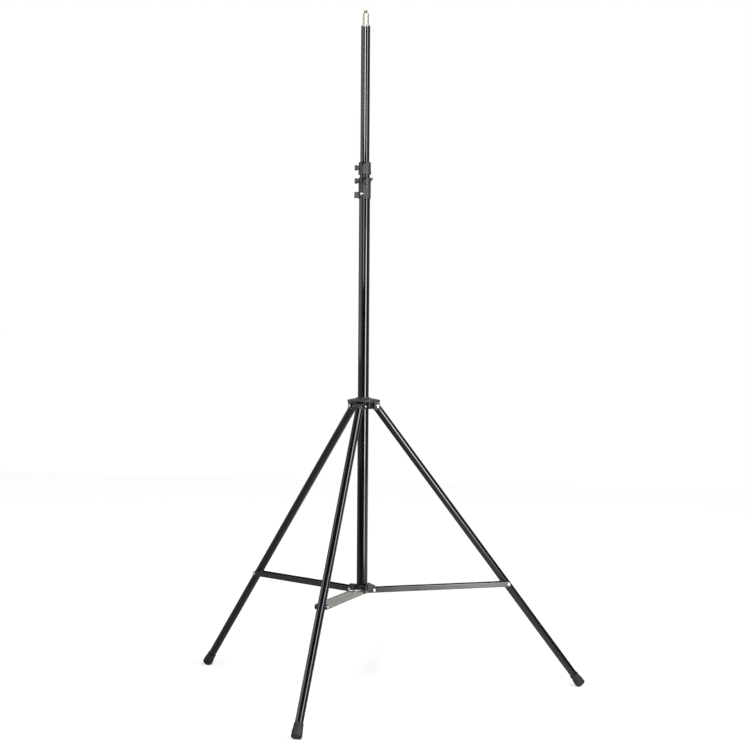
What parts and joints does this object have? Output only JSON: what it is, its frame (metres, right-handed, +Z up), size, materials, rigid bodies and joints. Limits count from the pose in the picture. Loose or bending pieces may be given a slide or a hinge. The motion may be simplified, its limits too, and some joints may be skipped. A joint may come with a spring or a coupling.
{
  "type": "overhead microphone stand",
  "caption": "Tall floor stand: a telescoping round column with clamp collars and thumb knobs, a threaded spigot on top, and folding legs with flat-bar braces and rubber feet.",
  "frame": {"origin": "on the floor, at the centre of the footprint of the feet (bottom centre of the bounding box); the column's axis stands at X 0, Y 0.1589", "axes": "+Z up along the column, -Y towards the front leg, +X to the right of someone who faces the front leg"},
  "size_m": [1.131, 0.9834, 1.8714],
  "materials": {
    "black_paint": "satin black powder coat on steel tube and flat bar",
    "black_plastic": "fine-grained black glass-filled nylon",
    "black_rubber": "matt black rubber",
    "bright_metal": "bright nickel plating on turned steel",
    "plated_steel": "zinc-plated steel"
  },
  "bodies": {
    "column": {"column_tube": "black_paint", "base_end_plug": "black_plastic", "base_collar": "black_plastic", "lower_clamp": "black_plastic", "lower_fixing_screw": "bright_metal", "front_base_rivet": "bright_metal", "right_base_rivet": "bright_metal", "left_base_rivet": "bright_metal"},
    "leg_collar": {"leg_collar": "black_plastic", "leg_collar_bush": "black_plastic", "front_leg_rivet": "bright_metal", "right_leg_rivet": "bright_metal", "left_leg_rivet": "bright_metal"},
    "leg_collar_knob": {"leg_collar_knob": "black_plastic", "leg_collar_screw": "plated_steel"},
    "lower_clamp_knob": {"lower_clamp_knob": "black_plastic", "lower_clamp_screw": "plated_steel"},
    "lower_clamp_bush": {"lower_clamp_bush": "black_plastic"},
    "middle_section": {"middle_tube": "black_paint", "middle_guide_plug": "black_plastic", "upper_clamp": "black_plastic"},
    "upper_clamp_knob": {"upper_clamp_knob": "black_plastic", "upper_clamp_screw": "plated_steel"},
    "upper_clamp_bush": {"upper_clamp_bush": "black_plastic"},
    "top_section": {"top_tube": "black_paint", "top_guide_plug": "black_plastic", "spigot": "bright_metal"},
    "front_leg": {"front_leg_head": "black_plastic", "front_leg_tube": "black_paint", "front_foot": "black_rubber", "front_brace_pin": "plated_steel", "front_brace_spacer_a": "black_plastic", "front_brace_spacer_b": "black_plastic"},
    "front_brace": {"front_brace_bar_a": "black_paint", "front_brace_bar_b": "black_paint", "front_brace_rivet_a": "bright_metal", "front_brace_rivet_b": "bright_metal"},
    "right_leg": {"right_leg_head": "black_plastic", "right_leg_tube": "black_paint", "right_foot": "black_rubber", "right_brace_pin": "plated_steel", "right_brace_spacer_a": "black_plastic", "right_brace_spacer_b": "black_plastic"},
    "right_brace": {"right_brace_bar_a": "black_paint", "right_brace_bar_b": "black_paint", "right_brace_rivet_a": "bright_metal", "right_brace_rivet_b": "bright_metal"},
    "left_leg": {"left_leg_head": "black_plastic", "left_leg_tube": "black_paint", "left_foot": "black_rubber", "left_brace_pin": "plated_steel", "left_brace_spacer_a": "black_plastic", "left_brace_spacer_b": "black_plastic"},
    "left_brace": {"left_brace_bar_a": "black_paint", "left_brace_bar_b": "black_paint", "left_brace_rivet_a": "bright_metal", "left_brace_rivet_b": "bright_metal"}
  },
  "joints": [
    {"name": "leg_collar_slide", "type": "slide", "parent": "column", "child": "leg_collar", "axis": [0, 0, 1], "range_m": [0, 0.5125]},
    {"name": "leg_collar_knob_turn", "type": "hinge", "parent": "leg_collar", "child": "leg_collar_knob", "pos_m": [0, 0.2097, 0.79278], "axis": [0, 1, 0], "range_deg": [0, 360]},
    {"name": "lower_clamp_knob_turn", "type": "hinge", "parent": "column", "child": "lower_clamp_knob", "pos_m": [-0.02279, 0.15315, 1.40548], "axis": [-0.9697, -0.2445, 0], "range_deg": [0, 360]},
    {"name": "middle_swivel", "type": "hinge", "parent": "column", "child": "lower_clamp_bush", "pos_m": [0, 0.1589, 1.40548], "axis": [0, 0, 1], "continuous": true},
    {"name": "middle_slide", "type": "slide", "parent": "lower_clamp_bush", "child": "middle_section", "axis": [0, 0, 1], "range_m": [-0.007, 0.9]},
    {"name": "upper_clamp_knob_turn", "type": "hinge", "parent": "middle_section", "child": "upper_clamp_knob", "pos_m": [-0.02279, 0.15315, 1.44128], "axis": [-0.9697, -0.2445, 0], "range_deg": [0, 360]},
    {"name": "top_swivel", "type": "hinge", "parent": "middle_section", "child": "upper_clamp_bush", "pos_m": [0, 0.1589, 1.44548], "axis": [0, 0, 1], "continuous": true},
    {"name": "top_slide", "type": "slide", "parent": "upper_clamp_bush", "child": "top_section", "axis": [0, 0, 1], "range_m": [-0.365, 0.55]},
    {"name": "front_leg_fold", "type": "hinge", "parent": "leg_collar", "child": "front_leg", "pos_m": [0, 0.1225, 0.79028], "axis": [1, 0, 0], "range_deg": [0, 38]},
    {"name": "front_brace_fold", "type": "hinge", "parent": "column", "child": "front_brace", "pos_m": [0, 0.1293, 0.28658], "axis": [-1, 0, 0], "range_deg": [0, 88.5]},
    {"name": "right_leg_fold", "type": "hinge", "parent": "leg_collar", "child": "right_leg", "pos_m": [0.03152, 0.1771, 0.79028], "axis": [-0.5, 0.866, 0], "range_deg": [0, 38]},
    {"name": "right_brace_fold", "type": "hinge", "parent": "column", "child": "right_brace", "pos_m": [0.02563, 0.1737, 0.28658], "axis": [0.5, -0.866, 0], "range_deg": [0, 88.5]},
    {"name": "left_leg_fold", "type": "hinge", "parent": "leg_collar", "child": "left_leg", "pos_m": [-0.03152, 0.1771, 0.79028], "axis": [-0.5, -0.866, 0], "range_deg": [0, 38]},
    {"name": "left_brace_fold", "type": "hinge", "parent": "column", "child": "left_brace", "pos_m": [-0.02563, 0.1737, 0.28658], "axis": [0.5, 0.866, 0], "range_deg": [0, 88.5]}
  ],
  "couplings": [
    {"joint": "front_leg_fold", "follows": "leg_collar_slide", "rad_per_m": 1.2929},
    {"joint": "front_brace_fold", "follows": "leg_collar_slide", "rad_per_m": 3.0102},
    {"joint": "right_leg_fold", "follows": "leg_collar_slide", "rad_per_m": 1.2929},
    {"joint": "right_brace_fold", "follows": "leg_collar_slide", "rad_per_m": 3.0102},
    {"joint": "left_leg_fold", "follows": "leg_collar_slide", "rad_per_m": 1.2929},
    {"joint": "left_brace_fold", "follows": "leg_collar_slide", "rad_per_m": 3.0102}
  ]
}
